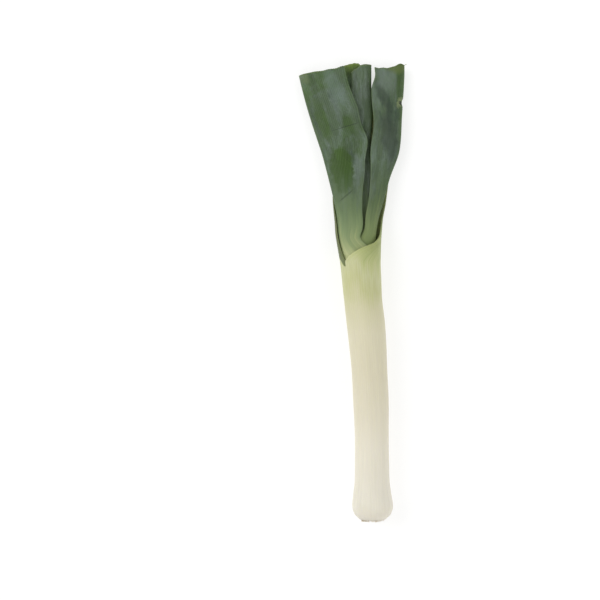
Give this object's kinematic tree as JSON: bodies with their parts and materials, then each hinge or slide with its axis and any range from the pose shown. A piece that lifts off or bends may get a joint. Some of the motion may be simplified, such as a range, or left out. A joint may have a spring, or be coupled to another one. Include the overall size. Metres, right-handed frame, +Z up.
{
  "type": "leek",
  "caption": "Trimmed leek lying down: white shaft of rolled leaf sheaths, root plate with cut roots, and a flat fan of folded green leaves.",
  "frame": {"origin": "on the surface that the leek lies on, below the middle of its outline", "axes": "+Y from the root end to the leaf ends, +Z up from the surface, +X to the right of someone who looks down on it"},
  "size_m": [0.073, 0.316, 0.0285],
  "materials": {
    "outer_leaf": "outermost leaf: ivory sheath with fine lengthwise veins that turns light green at the throat, and a dark green waxy blade, satin",
    "broad_leaves": "broad outer blades: dark blue-green under a grey wax bloom, with fine parallel veins, satin",
    "inner_leaves": "inner blades: grey-green strap and narrower leaf with parallel veins, satin",
    "youngest_leaf": "youngest leaf: yellow-green and tender, with fine parallel veins, satin",
    "root_plate": "trimmed root plate with cut root stubs: cream and pale brown, fibrous, matte"
  },
  "bodies": {
    "root": {"leaf_1": "outer_leaf", "leaf_2": "broad_leaves", "leaf_3": "broad_leaves", "leaf_4": "inner_leaves", "leaf_5": "inner_leaves", "leaf_6": "youngest_leaf", "root_plate": "root_plate"}
  },
  "joints": []
}
